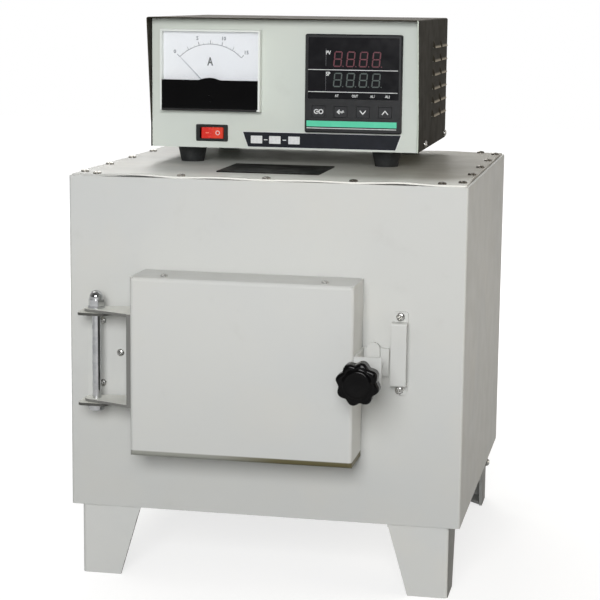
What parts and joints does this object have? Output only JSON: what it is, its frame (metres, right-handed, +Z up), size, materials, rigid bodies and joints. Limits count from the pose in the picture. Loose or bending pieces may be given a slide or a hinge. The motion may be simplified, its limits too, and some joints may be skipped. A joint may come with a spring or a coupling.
{
  "type": "muffle furnace",
  "caption": "Box muffle furnace on sheet legs with a side-hinged plug door, cam latch and a separate controller with ammeter, switch and digital instrument on top.",
  "frame": {"origin": "on the floor under the middle of the whole furnace, knob to terminal cover", "axes": "+Z up, the door faces -Y, +X to the right seen from the front"},
  "size_m": [0.376, 0.508, 0.5329],
  "materials": {
    "casing_paint": "satin powder coat, warm pale grey",
    "black_paint": "semi-gloss black",
    "cover_paint": "hammered dark olive brown",
    "panel_paint": "satin pale grey green",
    "zinc": "bright zinc plate",
    "chrome": "polished",
    "refractory": "unglazed fired, off-white",
    "fibre": "matte white fibre",
    "element_wire": "oxidised",
    "cast_aluminium": "as cast",
    "brass": "plain",
    "black_gloss": "high gloss",
    "black_matte": "fine matte",
    "meter_cream": "satin ivory",
    "rubber": "matte",
    "dial_white": "matte printed",
    "needle_black": "matte",
    "clear_cover": "clear",
    "dark_lens": "smoked",
    "red_rocker": "gloss",
    "key_grey": "matte"
  },
  "bodies": {
    "furnace": {"casing_shell": "casing_paint", "rear_panel": "casing_paint", "bottom_tray": "casing_paint", "top_cover": "casing_paint", "top_cover_screws": "zinc", "blank_plate": "black_paint", "front_right_leg": "casing_paint", "front_left_leg": "casing_paint", "rear_right_leg": "casing_paint", "rear_left_leg": "casing_paint", "leg_bolts": "zinc", "earth_bolt": "zinc", "throat_block": "refractory", "muffle": "refractory", "heating_elements": "element_wire", "wool_packing": "fibre", "rear_insulation": "fibre", "thermocouple_sheath": "refractory", "thermocouple_head": "cast_aluminium", "terminal_board": "refractory", "terminal_nuts": "brass", "terminal_cover": "casing_paint", "cable_glands": "black_matte", "hinge_fixed_bracket": "casing_paint", "hinge_screws": "zinc", "hinge_pin": "chrome", "hinge_washer": "zinc", "hinge_dome_nut": "chrome", "latch_keeper": "casing_paint", "keeper_screws": "zinc", "controller_feet": "rubber", "controller_tray": "panel_paint", "controller_panel": "panel_paint", "controller_cover": "cover_paint", "controller_screws": "zinc", "heat_sink": "cast_aluminium", "ammeter_case": "meter_cream", "ammeter_dial": "dial_white", "ammeter_window": "clear_cover", "ammeter_skirt": "black_gloss", "switch_frame": "black_matte", "instrument_case": "black_matte", "instrument_lens": "dark_lens"},
    "door": {"hinge_door_bracket": "casing_paint", "door_shell": "casing_paint", "door_back_plate": "casing_paint", "door_lining": "fibre", "door_plug": "refractory", "door_screws": "zinc", "latch_bracket": "casing_paint"},
    "latch": {"latch_spindle": "zinc", "latch_cam": "casing_paint", "latch_knob": "black_gloss"},
    "needle": {"ammeter_needle": "needle_black"},
    "zero_screw": {"ammeter_zero_screw": "black_gloss"},
    "rocker": {"switch_rocker": "red_rocker"},
    "key_1": {"instrument_key_1": "key_grey"},
    "key_2": {"instrument_key_2": "key_grey"},
    "key_3": {"instrument_key_3": "key_grey"},
    "key_4": {"instrument_key_4": "key_grey"}
  },
  "joints": [
    {"name": "door_hinge", "type": "hinge", "parent": "furnace", "child": "door", "pos_m": [-0.155, -0.176, 0.22], "axis": [0, 0, -1], "range_deg": [0, 160]},
    {"name": "latch_turn", "type": "hinge", "parent": "door", "child": "latch", "pos_m": [0.1055, -0.204, 0.2217], "axis": [0, 1, 0], "range_deg": [0, 90]},
    {"name": "ammeter_pointer", "type": "hinge", "parent": "furnace", "child": "needle", "pos_m": [-0.0847, -0.021, 0.4625], "axis": [0, 1, 0], "range_deg": [0, 90], "stiffness_Nm_per_rad": 0.00005, "springref_deg": -34.38},
    {"name": "ammeter_zero", "type": "hinge", "parent": "furnace", "child": "zero_screw", "pos_m": [-0.0847, -0.026, 0.4538], "axis": [0, 1, 0], "range_deg": [-20, 20]},
    {"name": "power_switch", "type": "hinge", "parent": "furnace", "child": "rocker", "pos_m": [-0.08425, -0.0125, 0.41915], "axis": [0, 0, -1], "range_deg": [0, 16]},
    {"name": "key_1_press", "type": "slide", "parent": "furnace", "child": "key_1", "axis": [0, 1, 0], "range_m": [0, 0.0008], "stiffness_N_per_m": 400, "springref_m": -0.001},
    {"name": "key_2_press", "type": "slide", "parent": "furnace", "child": "key_2", "axis": [0, 1, 0], "range_m": [0, 0.0008], "stiffness_N_per_m": 400, "springref_m": -0.001},
    {"name": "key_3_press", "type": "slide", "parent": "furnace", "child": "key_3", "axis": [0, 1, 0], "range_m": [0, 0.0008], "stiffness_N_per_m": 400, "springref_m": -0.001},
    {"name": "key_4_press", "type": "slide", "parent": "furnace", "child": "key_4", "axis": [0, 1, 0], "range_m": [0, 0.0008], "stiffness_N_per_m": 400, "springref_m": -0.001}
  ]
}
